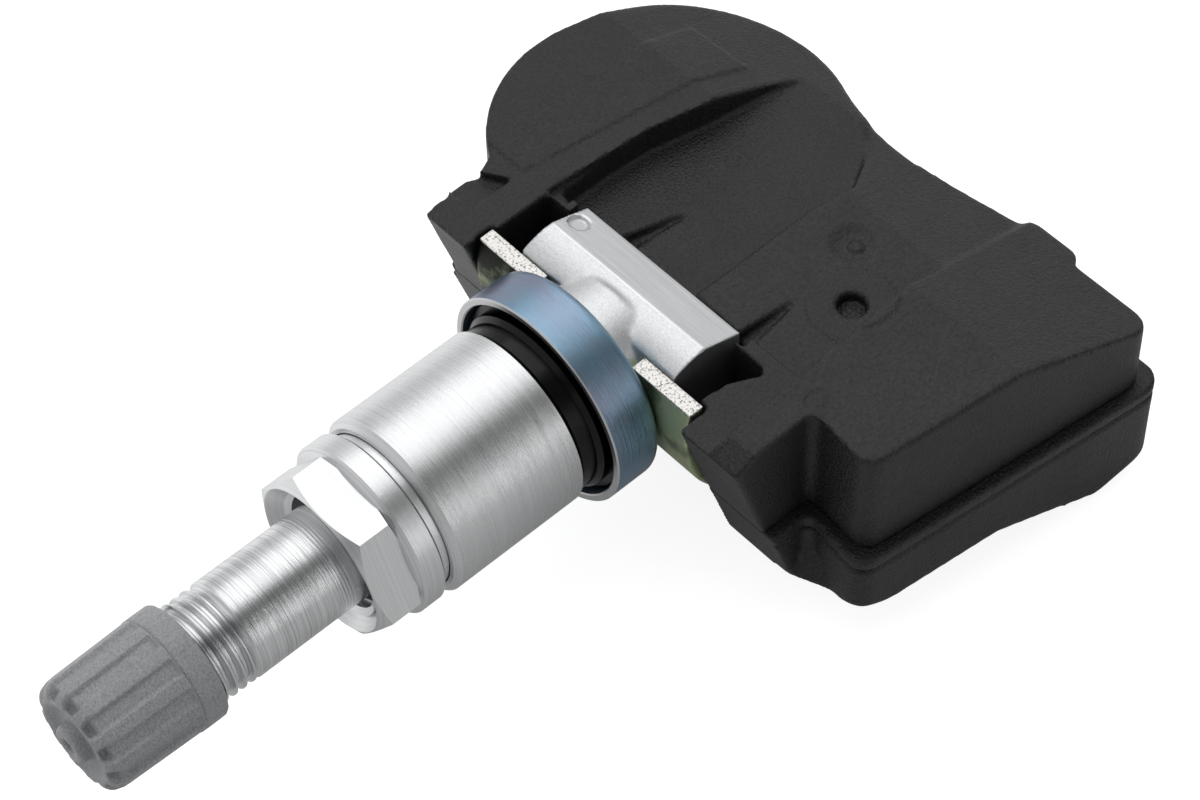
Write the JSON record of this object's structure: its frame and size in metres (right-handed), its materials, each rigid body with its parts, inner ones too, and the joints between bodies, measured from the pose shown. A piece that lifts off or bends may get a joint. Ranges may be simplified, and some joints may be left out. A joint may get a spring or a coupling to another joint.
{
  "type": "tyre pressure sensor",
  "caption": "Tyre pressure sensor with a clamp-in aluminium valve, plastic dust cap, hexagon nut, clamp sleeve, rubber grommet and a sealed two-shell electronics housing",
  "frame": {"origin": "On the valve's axis, at the end of the clamp sleeve that faces the wheel, where the rubber grommet begins", "axes": "+Y runs along the valve's axis from the dust cap to the housing, +Z points out of the housing's upper face, +X points across to the square end of the housing"},
  "size_m": [0.0496, 0.0786, 0.0231],
  "materials": {
    "cap_plastic": "grey moulded plastic with a fine grain",
    "rubber": "black rubber with a soft gloss",
    "red_rubber": "dull red rubber",
    "aluminium": "turned and brushed aluminium",
    "brass": "turned brass",
    "spring_steel": "bright steel",
    "blue_steel": "blue passivated steel, brushed round",
    "plated_steel": "pale green plating with bright cut edges",
    "housing_plastic": "matt black glass-filled plastic with a fine grain",
    "board": "green solder resist",
    "package_plastic": "moulded black package",
    "ferrite": "grey-black sintered ferrite",
    "copper": "enamelled copper wire",
    "ceramic": "tan ceramic with tinned ends"
  },
  "bodies": {
    "body": {"valve_stem": "aluminium", "core_plug": "brass", "core_barrel": "brass", "core_gasket": "red_rubber", "core_spring": "spring_steel", "grommet": "rubber", "support_ring": "blue_steel", "retainer_plate": "plated_steel", "upper_shell": "housing_plastic", "lower_tray": "housing_plastic", "circuit_board": "board", "coin_cell": "spring_steel", "cell_tab_upper": "spring_steel", "cell_tab_lower": "spring_steel", "pressure_sensor": "package_plastic", "port_seal": "rubber", "coil_core": "ferrite", "coil_winding": "copper", "aerial_strip": "brass", "crystal": "spring_steel", "capacitors": "ceramic"},
    "cap": {"valve_cap": "cap_plastic", "cap_seal": "rubber"},
    "nut": {"hex_nut": "aluminium"},
    "sleeve": {"clamp_sleeve": "aluminium"},
    "valve_pin": {"core_pin": "brass", "core_cup": "brass", "core_seal": "rubber"}
  },
  "joints": [
    {"name": "cap_pull", "type": "slide", "parent": "body", "child": "cap", "axis": [0, -1, 0], "range_m": [0, 0.012]},
    {"name": "nut_turn", "type": "hinge", "parent": "body", "child": "nut", "pos_m": [0, 0, 0], "axis": [0, 1, 0], "continuous": true},
    {"name": "sleeve_turn", "type": "hinge", "parent": "nut", "child": "sleeve", "pos_m": [0, 0, 0], "axis": [0, 1, 0], "continuous": true},
    {"name": "pin_press", "type": "slide", "parent": "body", "child": "valve_pin", "axis": [0, 1, 0], "range_m": [0, 0.0012], "stiffness_N_per_m": 1000, "springref_m": -0.002, "deforming": ["core_spring"]}
  ]
}
